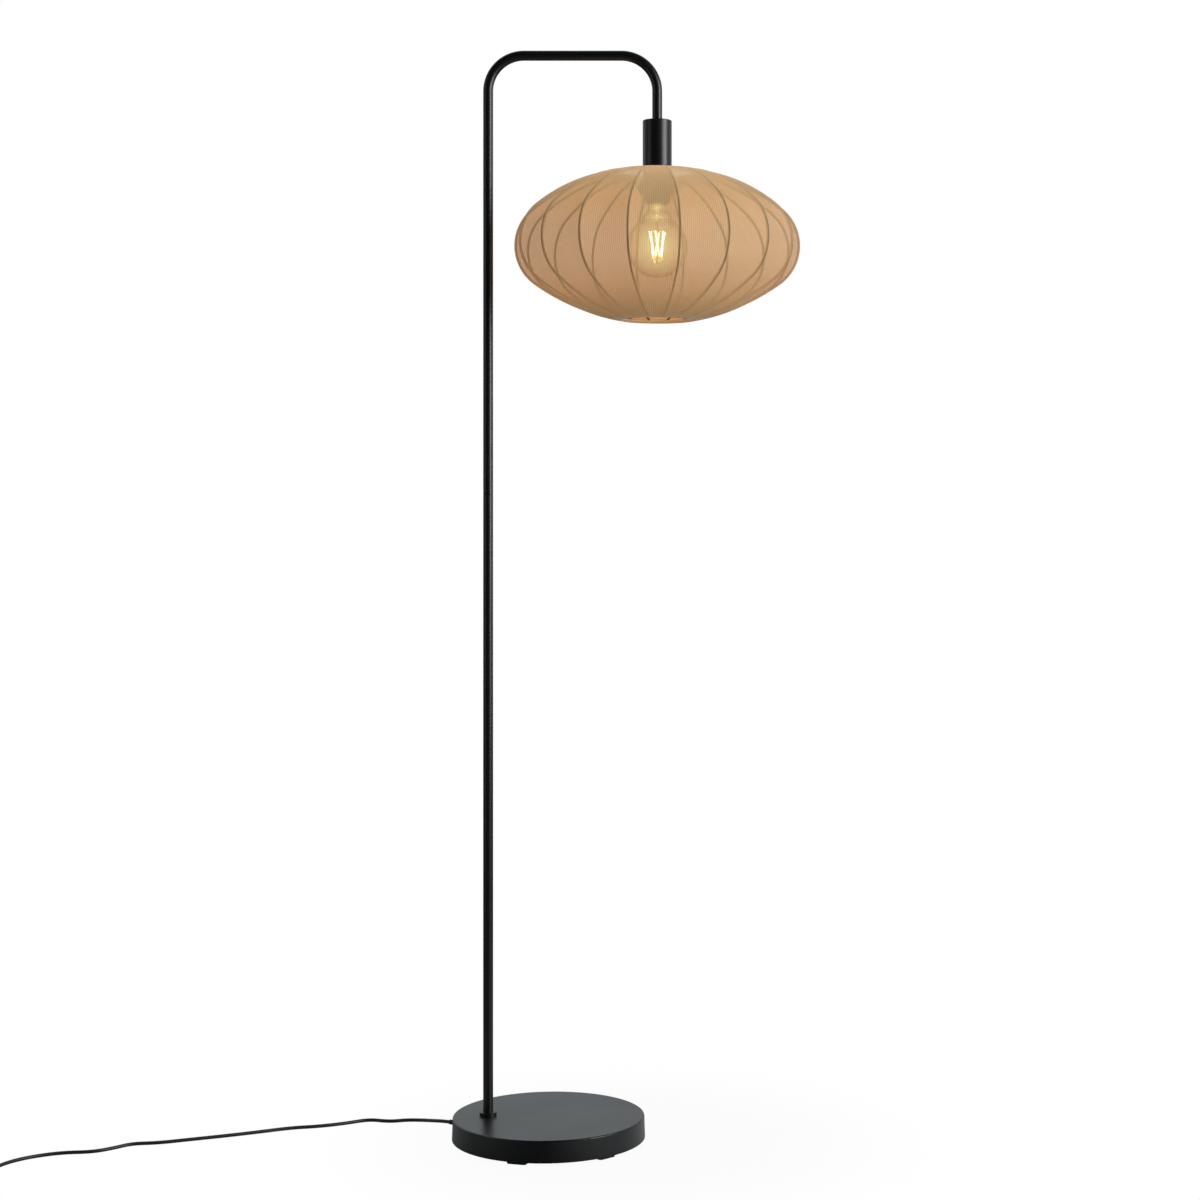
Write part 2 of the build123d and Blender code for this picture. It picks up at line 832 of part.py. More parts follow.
# Mains lead on the floor: points of its route, from the base to the foot switch
lead_points = [
    (-254.07, 58.81, 10.0),
    (-266.12, 63.68, 10.0),
    (-279.0, 76.0, 7.2),
    (-296.0, 94.0, 3.2),
    (-320.0, 98.0, 2.5),
    (-345.0, 89.0, 2.5),
    (-375.0, 101.0, 2.5),
    (-405.0, 80.0, 2.5),
    (-442.0, 63.0, 2.5),
    (-480.0, 55.0, 2.5),
    (-520.0, 34.0, 2.5),
    (-560.0, 15.0, 2.5),
    (-610.0, -6.0, 2.5),
    (-652.0, -24.0, 2.5),
    (-686.0, -27.0, 2.5),
    (-706.0, -50.0, 2.5),
    (-730.0, -69.0, 2.5),
    (-770.0, -72.0, 2.5),
    (-806.0, -92.0, 2.5),
    (-828.0, -116.0, 2.5),
    (-840.0, -143.0, 2.5),
    (-844.5, -174.1, 2.5),
    (-855.2, -188.8, 2.5),
    (-872.5, -194.4, 2.5),
    (-889.8, -188.8, 2.6),
    (-900.5, -174.1, 4.2),
    (-900.5, -154.5, 6.5),
    (-900.5, -143.0, 6.5),
]
tail_points = [
    (-900.5, -35.0, 6.5),
    (-900.5, -21.0, 6.5),
    (-900.5, -3.0, 3.6),
    (-900.5, 11.0, 3.6),
]


def bend_radii(points):
    """The radius at each inner point of a route: as large as its two runs allow."""
    radii = []
    for before, here, after in zip(points, points[1:], points[2:]):
        run_in, run_out = Vector(*here) - Vector(*before), Vector(*after) - Vector(*here)
        half_turn = radians(run_in.get_angle(run_out)) / 2
        radii.append(0.45 * min(run_in.length, run_out.length) / tan(half_turn))
    return radii


def cord_stretch(points, title):
    radii = bend_radii(points)
    with BuildPart() as stretch:
        with BuildLine() as route:
            FilletPolyline(*points, radius=radii)
        with BuildSketch(Plane(route.wire() @ 0, z_dir=route.wire() % 0)) as section:
            RegularPolygon(cord_radius, cord_sides)
        sweep(path=route.wire())
    length = route.wire().length
    ratio = stretch.part.volume / (section.sketch.area * length)
    print(f"{title}: {length:.0f} mm long, volume over section times length {ratio:.4f}")
    print("  bend radii:", ", ".join(f"{radius:.0f}" for radius in radii))
    return stretch, length


cord_lead, lead_length = cord_stretch(lead_points, "cord_lead")
cord_tail, tail_length = cord_stretch(tail_points, "cord_tail")

# Coil: half turns that step inwards on the floor, climb one layer, and step outwards on top
coil_start = Vector(*tail_points[-1])
coil_x, coil_y = coil_start.X - coil_radius, coil_start.Y + 2 * cord_radius
layer_low = coil_start.Z
layer_high = layer_low + coil_turn_step
step = coil_turn_step / 2
reaches = [coil_radius - step * number for number in range(coil_half_turns)]
reaches.append(reaches[-1] - step - climb_inset)
reaches += reaches[::-1]

with BuildPart() as cord_coil:
    with BuildLine() as coil_line:
        Line(tuple(coil_start), (coil_start.X, coil_y, layer_low))
        side = 1
        for number, (reach, next_reach) in enumerate(zip(reaches, reaches[1:])):
            start_height = layer_low if number <= coil_half_turns else layer_high
            end_height = layer_low if number < coil_half_turns else layer_high
            start = Vector(coil_x + side * reach, coil_y, start_height)
            end = Vector(coil_x - side * next_reach, coil_y, end_height)
            forward = Vector(0, side, 0)
            reach_half = (end - start).length / 2
            turn_in, turn_out = start + forward * reach_half, end + forward * reach_half
            crown = (turn_in + turn_out) * 0.5
            TangentArc(start, crown, tangent=forward)
            TangentArc(crown, end, tangent=turn_out - turn_in)
            side = -side
        last = Vector(coil_x + side * reaches[-1], coil_y, layer_high)
        Line(tuple(last), (last.X, last.Y + side * 2 * cord_radius, layer_high))
    with BuildSketch(Plane(coil_line.wire() @ 0, z_dir=coil_line.wire() % 0)) as coil_section:
        RegularPolygon(cord_radius, cord_sides)
    sweep(path=coil_line.wire())
coil_length = coil_line.wire().length


def least_gap(wire, spacing):
    """The least space between turns, from points along the wire, leaving out near neighbours."""
    count = int(wire.length / spacing)
    distances = [number * wire.length / count for number in range(count + 1)]
    points = [wire.position_at(distance, PositionMode.LENGTH) for distance in distances]
    skip = int(8 * cord_radius / spacing)
    least = wire.length
    for number, here in enumerate(points):
        for other in points[number + skip :]:
            least = min(least, (here - other).length)
    return least - 2 * cord_radius


coil_ratio = cord_coil.part.volume / (coil_section.sketch.area * coil_length)
print(f"cord_coil: {coil_length:.0f} mm long, volume over section times length {coil_ratio:.4f}")
print(f"  least gap between turns {least_gap(coil_line.wire(), 2.0):.2f} mm")

# Tie: a strap round the bundle of turns, on the side away from the ends
bundle_inner = reaches[coil_half_turns] - cord_radius - tie_slack
bundle_outer = coil_radius + cord_radius + tie_slack
bundle_top = layer_high + cord_radius + tie_slack
tie_foot = layer_low - cord_radius - slip_fit - tie_thickness
with BuildPart() as coil_tie:
    with BuildSketch(upright_plane(coil_x, coil_y, 90).offset(-tie_width / 2)):
        with Locations(((bundle_inner + bundle_outer) / 2, (tie_foot + tie_thickness + bundle_top) / 2)):
            hole_width, hole_height = bundle_outer - bundle_inner, bundle_top - tie_foot - tie_thickness
            RectangleRounded(hole_width + 2 * tie_thickness, hole_height + 2 * tie_thickness, tie_corner)
            RectangleRounded(hole_width, hole_height, tie_corner - tie_thickness, mode=Mode.SUBTRACT)
    extrude(amount=tie_width)

# Foot switch: two moulded shells round a contact block, with a round button on a spring
switch_y = (lead_points[-1][1] + tail_points[0][1]) / 2
switch_x = tail_points[0][0]
switch_centre = Location((switch_x, switch_y))
inner_width, inner_length = switch_width - 2 * switch_wall, switch_length - 2 * switch_wall
with BuildPart() as switch_base:
    with BuildSketch(Plane.XY):
        with Locations(switch_centre):
            RectangleRounded(switch_width, switch_length, switch_corner)
    extrude(amount=switch_split)
    with BuildSketch(Plane.XY.offset(switch_wall)):
        with Locations(switch_centre):
            RectangleRounded(inner_width, inner_length, switch_corner - switch_wall)
    extrude(amount=switch_split, mode=Mode.SUBTRACT)
    chamfer(switch_base.faces().sort_by(Axis.Z)[0].outer_wire().edges(), switch_foot_chamfer)

with BuildPart() as switch_cover:
    with BuildSketch(Plane.XY.offset(switch_split)):
        with Locations(switch_centre):
            RectangleRounded(switch_width, switch_length, switch_corner)
    extrude(amount=switch_height - switch_split, taper=switch_taper)
    fillet(switch_cover.faces().sort_by(Axis.Z)[-1].outer_wire().edges(), switch_edge_radius)
    with BuildSketch(Plane.XY.offset(switch_split)):
        with Locations(switch_centre):
            RectangleRounded(inner_width, inner_length, switch_corner - switch_wall)
    inner_height = switch_height - switch_split - switch_wall
    extrude(amount=inner_height, taper=switch_taper, mode=Mode.SUBTRACT)
    with Locations(Plane((switch_x, switch_y, switch_height))):
        Hole(button_radius + button_clearance, depth=2 * switch_wall)

with BuildPart() as switch_button:
    with BuildSketch(Plane.XY.offset(button_foot)):
        with Locations(switch_centre):
            Circle(button_radius)
    extrude(amount=switch_height + button_rise - button_foot)
    fillet(switch_button.edges().group_by(Axis.Z)[-1], button_edge_radius)
    with BuildSketch(Plane.XY.offset(button_foot)):
        with Locations(switch_centre):
            Circle(button_radius + button_rim)
    extrude(amount=button_rim_height)

with BuildPart() as switch_block:
    with BuildSketch(Plane.XY.offset(switch_wall)):
        with Locations(switch_centre):
            Rectangle(block_width, block_length)
    extrude(amount=button_foot - button_travel - block_gap - switch_wall)

with BuildPart() as switch_sleeves:
    for end_y, outwards in ((tail_points[0][1], 1), (lead_points[-1][1], -1)):
        with BuildSketch(Plane((switch_x, end_y, switch_split), z_dir=(0, -outwards, 0))):
            Circle(sleeve_tip_radius)
        root_y = end_y - outwards * sleeve_length
        with BuildSketch(Plane((switch_x, root_y, switch_split), z_dir=(0, -outwards, 0))):
            Circle(sleeve_root_radius)
        loft()

# Plug: a flat two-pin body that narrows to its sleeve, lying beyond the coil's end
plug_x, plug_start, plug_z = last.X, last.Y + side * 2 * cord_radius, layer_high


def plug_plane(distance):
    return Plane(
        origin=(plug_x, plug_start - distance, plug_z), x_dir=(1, 0, 0), z_dir=(0, -1, 0)
    )


with BuildPart() as plug_sleeve:
    with BuildSketch(plug_plane(0)):
        Circle(sleeve_tip_radius)
    with BuildSketch(plug_plane(plug_sleeve_length)):
        Circle(plug_sleeve_root)
    loft()

plug_face = plug_sleeve_length + plug_length
with BuildPart() as plug_body:
    with BuildSketch(plug_plane(plug_sleeve_length)):
        RectangleRounded(plug_neck_width, plug_neck_thickness, plug_neck_corner)
    with BuildSketch(plug_plane(plug_sleeve_length + plug_shoulder)):
        RectangleRounded(plug_shoulder_width, plug_shoulder_thickness, plug_shoulder_corner)
    with BuildSketch(plug_plane(plug_face)):
        RectangleRounded(plug_width, plug_thickness, plug_corner)
    loft()

with BuildPart() as plug_pins:
    with BuildSketch(plug_plane(plug_face)):
        with GridLocations(pin_spacing, 1, 2, 1):
            Circle(pin_radius)
    extrude(amount=pin_length)
    chamfer(plug_pins.faces().group_by(Axis.Y)[0].edges(), edge_break)

visible = lead_length + (tail_points[0][1] - lead_points[-1][1])
print(f"whole lead from the base to the plug {visible + tail_length + coil_length:.0f} mm")

pieces = {
    "base_cover": base_cover,
    "base_weight": base_weight,
    "base_plate": base_plate,
    "base_plate_screws": base_plate_screws,
    "base_pads": base_pads,
    "pole_collar": pole_collar,
    "base_nipple": base_nipple,
    "base_washer": base_washer,
    "base_nut": base_nut,
    "pole_lower": pole_lower,
    "pole_middle": pole_middle,
    "pole_upper": pole_upper,
    "arch_tube": arch_tube,
    "thread_bushes": thread_bushes,
    "joint_nipples": joint_nipples,
    "holder_cup": holder_cup,
    "cup_washer": cup_washer,
    "cup_nut": cup_nut,
    "cup_nipple": cup_nipple,
    "holder_body": holder_body,
    "holder_shell": holder_shell,
    "holder_contact": holder_contact,
    "shade_ring": shade_ring,
    "shade_fitter": shade_fitter,
    "shade_ribs": shade_ribs,
    "shade_bottom_ring": shade_bottom_ring,
    "shade_cover": shade_cover,
    "bulb_globe": bulb_globe,
    "bulb_cap": bulb_cap,
    "bulb_insulator": bulb_insulator,
    "bulb_contact": bulb_contact,
    "bulb_stem": bulb_stem,
    "bulb_filaments": bulb_filaments,
    "bulb_supports": bulb_supports,
    "inner_lead": inner_lead,
    "cord_grip": cord_grip,
    "cord_lead": cord_lead,
    "cord_tail": cord_tail,
    "cord_coil": cord_coil,
    "coil_tie": coil_tie,
    "switch_base": switch_base,
    "switch_cover": switch_cover,
    "switch_button": switch_button,
    "switch_block": switch_block,
    "switch_sleeves": switch_sleeves,
    "plug_sleeve": plug_sleeve,
    "plug_body": plug_body,
    "plug_pins": plug_pins,
}
for name, piece in pieces.items():
    piece.part.label = name
    export_step(piece.part, f"parts/{name}.step")
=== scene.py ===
# %% [markdown]
# # A floor lamp with a ribbed fabric shade
#
# The lamp has a heavy round base, a pole of screwed tubes, an arch over to the right and a flattened
# round shade of knitted cloth on wire ribs. Its hard pieces come ready from the frame, at their real
# size. This file gives every one of them a finish, and models what is soft: the cloth and the lead.

# %% Load the frame
from math import acos, cos, pi, radians, sin, tan

import bpy
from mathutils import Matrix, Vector


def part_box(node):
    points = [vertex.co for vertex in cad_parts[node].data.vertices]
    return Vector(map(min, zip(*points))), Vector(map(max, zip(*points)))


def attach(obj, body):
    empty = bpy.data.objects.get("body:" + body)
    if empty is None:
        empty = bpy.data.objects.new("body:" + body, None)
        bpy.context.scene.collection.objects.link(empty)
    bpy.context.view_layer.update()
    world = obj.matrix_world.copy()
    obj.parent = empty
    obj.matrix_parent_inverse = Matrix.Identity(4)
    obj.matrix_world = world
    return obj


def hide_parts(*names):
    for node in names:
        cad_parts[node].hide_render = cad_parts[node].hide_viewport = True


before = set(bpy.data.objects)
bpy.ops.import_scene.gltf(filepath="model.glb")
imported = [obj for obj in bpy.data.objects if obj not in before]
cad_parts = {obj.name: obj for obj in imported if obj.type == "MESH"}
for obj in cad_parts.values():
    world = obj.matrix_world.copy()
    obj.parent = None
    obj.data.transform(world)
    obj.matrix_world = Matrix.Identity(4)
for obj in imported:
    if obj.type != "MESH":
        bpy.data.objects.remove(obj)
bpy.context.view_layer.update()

# %% [markdown]
# ## Camera
#
# The photograph was taken from lamp height with a long lens, level, and a little to the right of the
# pole. A level camera keeps upright lines upright, so the frame is moved over the picture by lens shift
# and not by turning the camera. The optical axis meets the picture at a point measured in its pixels.

# %% Place the camera
picture_side = 1200
axis_column, axis_row = 710, 518
sensor_width = 36.0
focal_pixels = 2290

camera_data = bpy.data.cameras.new("camera")
camera_data.sensor_width = sensor_width
camera_data.lens = sensor_width * focal_pixels / picture_side
camera_data.shift_x = (picture_side / 2 - axis_column) / picture_side
camera_data.shift_y = (axis_row - picture_side / 2) / picture_side
camera_data.clip_start, camera_data.clip_end = 0.1, 60
camera = bpy.data.objects.new("camera", camera_data)
camera.location = (0.1175, -3.21, 0.872)
camera.rotation_euler = (pi / 2, 0, 0)
bpy.context.scene.collection.objects.link(camera)
bpy.context.scene.camera = camera
print("lens", round(camera_data.lens, 1), "mm")

# %% [markdown]
# ## Mains lead
#
# The lead is one length of round cable: out of the grip at the back of the base, along the floor in
# slow bends, through the foot switch and into a neat coil that is tied for storage, with the plug on its
# end. One smooth spline gives it a constant thickness and no kinks. The loose part follows points that
# are listed one by one; the coil's turns are worked out, because they repeat. Blender adds a point's own
# radius to a curve's bounds, so the thickness is given at the points and the bevel is left at one metre.

# %% The loose part of the lead
lead_radius = 0.0025
loose_route = [
    (-0.25407, 0.05881, 0.0100),
    (-0.26612, 0.06368, 0.0100),
    (-0.27900, 0.07600, 0.0072),
    (-0.29600, 0.09400, 0.0032),
    (-0.32000, 0.09800, 0.0025),
    (-0.34500, 0.08900, 0.0025),
    (-0.37500, 0.10100, 0.0025),
    (-0.40500, 0.08000, 0.0025),
    (-0.44200, 0.06300, 0.0025),
    (-0.48000, 0.05500, 0.0025),
    (-0.52000, 0.03400, 0.0025),
    (-0.56000, 0.01500, 0.0025),
    (-0.61000, -0.00600, 0.0025),
    (-0.65200, -0.02400, 0.0025),
    (-0.68600, -0.02700, 0.0025),
    (-0.70600, -0.05000, 0.0025),
    (-0.73000, -0.06900, 0.0025),
    (-0.77000, -0.07200, 0.0025),
    (-0.80600, -0.09200, 0.0025),
    (-0.82800, -0.11600, 0.0025),
    (-0.84000, -0.14300, 0.0025),
    (-0.84450, -0.17410, 0.0025),
    (-0.85520, -0.18880, 0.0025),
    (-0.87250, -0.19440, 0.0025),
    (-0.88980, -0.18880, 0.0026),
    (-0.90050, -0.17410, 0.0042),
    (-0.90050, -0.15450, 0.0065),
    (-0.90050, -0.14300, 0.0065),
    (-0.90050, -0.03500, 0.0065),
    (-0.90050, -0.02100, 0.0065),
    (-0.90050, -0.00300, 0.0036),
    (-0.90050, 0.01100, 0.0036),
]

# %% The turns of the coil
coil_radius = 0.037
turn_step = 0.0055
half_turns_down = 5
climb_inset = 0.001
points_per_half_turn = 8
layer_low = loose_route[-1][2]
layer_high = layer_low + turn_step

reaches = [coil_radius - turn_step / 2 * number for number in range(half_turns_down)]
reaches.append(reaches[-1] - turn_step / 2 - climb_inset)
reaches += reaches[::-1]
coil_x = loose_route[-1][0] - coil_radius
coil_y = loose_route[-1][1] + 2 * lead_radius
polygon_growth = 4 / (3 + cos(pi / points_per_half_turn))

coil_route = []
side = 1
for number, (reach, next_reach) in enumerate(zip(reaches, reaches[1:])):
    middle = coil_x + side * (reach - next_reach) / 2
    radius = (reach + next_reach) / 2 * polygon_growth
    for point in range(points_per_half_turn):
        share = (point + 0.5) / points_per_half_turn
        rise = 0 if number < half_turns_down else share if number == half_turns_down else 1
        height = layer_low + rise * turn_step
        turned = pi * share
        coil_route.append(
            (middle + side * radius * cos(turned), coil_y + side * radius * sin(turned), height)
        )
    side = -side
coil_end = (coil_x + side * reaches[-1], coil_y, layer_high)
plug_start = (coil_end[0], coil_y + side * 2 * lead_radius, layer_high)
coil_route += [coil_end, plug_start]
print("coil of", len(reaches) - 1, "half turns,", len(coil_route), "points")


# %% Lay the lead
def spline_object(name, points, thickness):
    """One open spline through the neighbourhood of the points, as a round cable."""
    data = bpy.data.curves.new(name, "CURVE")
    data.dimensions = "3D"
    data.bevel_depth = 1.0
    data.bevel_resolution = 5
    data.resolution_u = 8
    data.use_fill_caps = True
    spline = data.splines.new("NURBS")
    spline.points.add(len(points) - 1)
    for control, place in zip(spline.points, points):
        control.co = (*place, 1)
        control.radius = thickness
    spline.order_u = 3
    spline.use_endpoint_u = True
    piece = bpy.data.objects.new(name, data)
    bpy.context.scene.collection.objects.link(piece)
    return piece


lead = spline_object("mains_lead", loose_route + coil_route, lead_radius)
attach(lead, "root")
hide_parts("cord_lead", "cord_tail", "cord_coil")

# %% [markdown]
# ## Shade: the outline of its ribs
#
# Each rib is bent from one wire. Its outline is three arcs that meet without a corner: a tight one round
# the shade's widest place, and a longer one above and below it. The cloth lies on the outside of the
# ribs, so the same arcs give its shape. The outline is measured along its length, as the cloth was cut.

# %% The three arcs and their points
rings_low, rings_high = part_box("shade_bottom_ring")
shade_x = (rings_low.x + rings_high.x) / 2
ring_wire = (rings_high.z - rings_low.z) / 2
lower_ring = ((rings_high.x - rings_low.x) / 2 - ring_wire, (rings_low.z + rings_high.z) / 2)
upper_ring = (lower_ring[0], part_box("shade_fitter")[1].z - ring_wire)
shade_radius = 0.2
shade_middle = 1.2537
middle_arc, upper_arc, lower_arc = 0.067, 0.2395, 0.292
upper_join, lower_join = radians(50.6), radians(54.5)
rib_count = 18
half_panel = pi / rib_count

arc_middle_x = shade_radius - middle_arc
upper_centre = (
    arc_middle_x - (upper_arc - middle_arc) * cos(upper_join),
    shade_middle - (upper_arc - middle_arc) * sin(upper_join),
)
lower_centre = (
    arc_middle_x - (lower_arc - middle_arc) * cos(lower_join),
    shade_middle + (lower_arc - middle_arc) * sin(lower_join),
)
top_angle = acos((upper_ring[0] - upper_centre[0]) / upper_arc)
bottom_angle = acos((lower_ring[0] - lower_centre[0]) / lower_arc)
arcs = [
    (upper_centre, upper_arc, top_angle, upper_join),
    ((arc_middle_x, shade_middle), middle_arc, upper_join, -lower_join),
    (lower_centre, lower_arc, -lower_join, -bottom_angle),
]


def outline_points(rows):
    """Points down the outline, evenly spaced: radius, height, and the outward direction there."""
    lengths = [arc * (start - end) for _, arc, start, end in arcs]
    points = []
    for row in range(rows + 1):
        along = sum(lengths) * row / rows
        for (centre, arc, start, _), length in zip(arcs, lengths):
            if along <= length + 1e-9:
                angle = start - along / arc
                break
            along -= length
        points.append((centre[0] + arc * cos(angle), centre[1] + arc * sin(angle), angle))
    return points, sum(lengths)


outline_rows = 72
outline, outline_length = outline_points(outline_rows)
print("rib outline", round(outline_length * 1000), "mm long")

# %% [markdown]
# ## Shade: the cloth
#
# The cover is fine ribbed knit, stretched over the frame. Between two ribs it has nothing to lie on, so
# it pulls straight across and even a little inwards, which gives the shade its facets. At both mouths it
# is turned round the ring wire and forms a soft rolled hem. The mesh is made row by row from the
# outline, so each point knows how far it is from the nearest rib and from the mouth. The material needs
# those distances, and they are kept as attributes beside a UV map in the cloth's real size.

# %% Rows from the upper hem, down the outline, to the lower hem
cloth_offset = 0.0003
hem_radius = 0.0022
hem_steps = 9
hem_turn = radians(285)
inward_pull = 0.0022
round_margin = 0.03

rows = []
for step in range(hem_steps):
    turned = top_angle + hem_turn * (1 - step / hem_steps)
    place = (upper_ring[0] + hem_radius * cos(turned), upper_ring[1] + hem_radius * sin(turned))
    rows.append((*place, 0.0, -hem_radius * hem_turn * (1 - step / hem_steps)))
for number, (radius, height, angle) in enumerate(outline):
    along = outline_length * number / outline_rows
    reach = radius + cloth_offset * cos(angle)
    rows.append((reach, height + cloth_offset * sin(angle), 1.0, along))
for step in range(1, hem_steps + 1):
    turned = -bottom_angle - hem_turn * step / hem_steps
    place = (lower_ring[0] + hem_radius * cos(turned), lower_ring[1] + hem_radius * sin(turned))
    rows.append((*place, 0.0, outline_length + hem_radius * hem_turn * step / hem_steps))

# %% Columns across one panel
near_rib = [0.0, 0.0011, 0.0026]
middle_shares = [0.36, 0.66, 1.0]
seam_rib = radians(100)
seam_lap = [0.0015, 0.003]
lap_lift = 0.0004
wale_pitch, course_pitch = 0.0030, 0.0022
wales_per_panel = 24


def panel_columns(radius):
    """Sideways places across a panel, from one rib to the next, measured from the panel's middle."""
    half_width = radius * tan(half_panel)
    left = [-half_width + distance for distance in near_rib]
    left += [-half_width * (1 - share) for share in middle_shares]
    return left + [-place for place in left[-2::-1]]


def panel_block(facing, lap):
    """One panel's points, row by row: place, place on the flat cut, distance to a rib and to a mouth."""
    points = []
    for radius, height, flatness, along in rows:
        mouth = min(abs(along), abs(outline_length - along))
        flatness *= min(1.0, mouth / round_margin)
        width = radius * tan(half_panel)
        columns = panel_columns(radius)
        for place in columns + [columns[-1] + distance for distance in lap]:
            turned = place / width * half_panel
            inner = min(abs(turned), 2 * half_panel - abs(turned))
            flat_reach = radius * cos(half_panel) / cos(inner)
            reach = radius + (flat_reach - radius) * flatness
            reach -= inward_pull * flatness * (radius / shade_radius) * (1 - (inner / half_panel) ** 2)
            if lap and place > 0:
                reach += lap_lift * min(1.0, place / width) ** 8
            inside = along < 0 or along > outline_length
            points.append(
                (
                    (shade_x + reach * cos(facing + turned), reach * sin(facing + turned), height),
                    (place + wale_pitch * wales_per_panel * round(facing / half_panel / 2), along),
                    abs(width - abs(place)),
                    -mouth if inside else mouth,
                )
            )
    return points


cloth_points, cloth_faces = [], []
for panel in range(rib_count):
    lap = seam_lap if panel == rib_count - 1 else []
    first = len(cloth_points)
    cloth_points += panel_block(seam_rib + half_panel * (2 * panel + 1), lap)
    stride = len(panel_columns(shade_radius)) + len(lap)
    for row in range(len(rows) - 1):
        for column in range(stride - 1):
            corner = first + row * stride + column
            below = corner + stride
            cloth_faces.append((corner, below, below + 1, corner + 1))

# %% The cloth's mesh, UV map and attributes
cloth_mesh = bpy.data.meshes.new("shade_cloth")
cloth_mesh.from_pydata([point[0] for point in cloth_points], [], cloth_faces)
uv_map = cloth_mesh.uv_layers.new(name="cut")
for loop in cloth_mesh.loops:
    uv_map.data[loop.index].uv = cloth_points[loop.vertex_index][1]
for title, part in (("rib_distance", 2), ("mouth_distance", 3)):
    attribute = cloth_mesh.attributes.new(title, "FLOAT", "POINT")
    attribute.data.foreach_set("value", [point[part] for point in cloth_points])
shade_cloth = bpy.data.objects.new("shade_cloth", cloth_mesh)
bpy.context.scene.collection.objects.link(shade_cloth)


# %% Join the panels at the ribs
def work_on(piece):
    """Leaves this piece alone selected and active, for the operators that follow."""
    bpy.ops.object.select_all(action="DESELECT")
    piece.select_set(True)
    bpy.context.view_layer.objects.active = piece


work_on(shade_cloth)
bpy.ops.object.mode_set(mode="EDIT")
bpy.ops.mesh.select_all(action="SELECT")
bpy.ops.mesh.remove_doubles(threshold=0.00002)
bpy.ops.object.mode_set(mode="OBJECT")
bpy.ops.object.shade_smooth()
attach(shade_cloth, "root")
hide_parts("shade_cover")

# %% [markdown]
# ## Materials as expressions
#
# A material is a sheet of nodes, and its sums are easier to read as sums. `Wire` wraps one output of a
# node, and Python's operators on it add the Math nodes. `Finish` holds one material: numbers that are
# the same all over go straight on the shader, and `node` adds any other node. The same sums could be
# set up by hand in the node editor, but as expressions they can be read and changed in one place.


# %% The two helpers
class Wire:
    """One output of a node. Operators on it add Math nodes and give a new Wire."""

    def __init__(self, finish, socket):
        self.finish, self.socket = finish, socket

    def maths(self, operation, *values):
        """A Math node that works on the values given, which are Wires or numbers."""
        return self.finish.node("ShaderNodeMath", {"operation": operation}, dict(enumerate(values)))

    def __add__(self, other):
        return self.maths("ADD", self, other)

    def __sub__(self, other):
        return self.maths("SUBTRACT", self, other)

    def __rsub__(self, other):
        return self.maths("SUBTRACT", other, self)

    def __mul__(self, other):
        return self.maths("MULTIPLY", self, other)

    __radd__, __rmul__ = __add__, __mul__

    def wave(self, pitch):
        """A wave from 0 to 1 that repeats at each pitch."""
        return self.maths("SINE", self * (2 * pi / pitch)) * 0.5 + 0.5

    def between(self, low, high):
        """Turns 0 to 1 into low to high."""
        return self * (high - low) + low

    def fade(self, start, end, low=1.0, high=0.0):
        """Goes smoothly from low at start to high at end, and stays there."""
        settings = {"interpolation_type": "SMOOTHSTEP"}
        return self.finish.node(
            "ShaderNodeMapRange", settings, {0: self, 1: start, 2: end, 3: low, 4: high}
        )


class Finish:
    """One material, with a Principled shader whose uniform numbers are given by socket name."""

    def __init__(self, name, colour, **uniform):
        self.material = bpy.data.materials.new(name)
        self.material.use_nodes = True
        self.tree = self.material.node_tree
        self.shader = self.tree.nodes["Principled BSDF"]
        self.shader.inputs["Base Color"].default_value = (*colour, 1)
        for socket, value in uniform.items():
            self.shader.inputs[socket.replace("_", " ")].default_value = value

    def node(self, kind, settings=None, values=None, output=0):
        """Adds a node, with its settings first, then its inputs as numbers or Wires."""
        made = self.tree.nodes.new(kind)
        for name, value in (settings or {}).items():
            setattr(made, name, value)
        for name, value in (values or {}).items():
            if isinstance(value, Wire):
                self.tree.links.new(value.socket, made.inputs[name])
            else:
                made.inputs[name].default_value = value
        return Wire(self, made.outputs[output])

    def place(self):
        """The piece's own coordinates, in metres."""
        return self.node("ShaderNodeTexCoord", output="Object")

    def parts(self, vector):
        """The x, y and z of a vector."""
        outputs = self.node("ShaderNodeSeparateXYZ", None, {0: vector}).socket.node.outputs
        return [Wire(self, output) for output in outputs]

    def noise(self, scale, detail):
        """Soft random patches from 0 to 1, about one over the scale in size."""
        values = {"Vector": self.place(), "Scale": scale, "Detail": detail}
        return self.node("ShaderNodeTexNoise", None, values)

    def blend(self, share, first, second):
        """Mixes two colours: a share of 0 is the first, and 1 the second."""
        first, second = [
            value if isinstance(value, Wire) else (*value, 1) for value in (first, second)
        ]
        return self.node("ShaderNodeMix", {"data_type": "RGBA"}, {0: share, 6: first, 7: second}, 2)

    def feed(self, socket, wire):
        """Lets a Wire set one of the shader's inputs."""
        self.tree.links.new(wire.socket, self.shader.inputs[socket])

    def bump(self, height, distance):
        """Gives the surface relief: a height from 0 to 1 over a distance in metres."""
        values = {"Height": height, "Distance": distance}
        self.feed("Normal", self.node("ShaderNodeBump", None, values))

    def cover(self, *names):
        """Gives this material to pieces and frame nodes by name."""
        for name in names:
            piece = bpy.data.objects[name]
            piece.data.materials.clear()
            piece.data.materials.append(self.material)
        print(self.material.name, "on", ", ".join(names))


# %% [markdown]
# ## Black powder coat
#
# Base, pole, arch and cup share one coat: baked powder, satin, nearly black. Close to, it has a fine
# orange-peel surface, and its gloss changes a little from place to place. Two noises are enough for
# that: a fine one for the surface and a coarse one for the gloss.

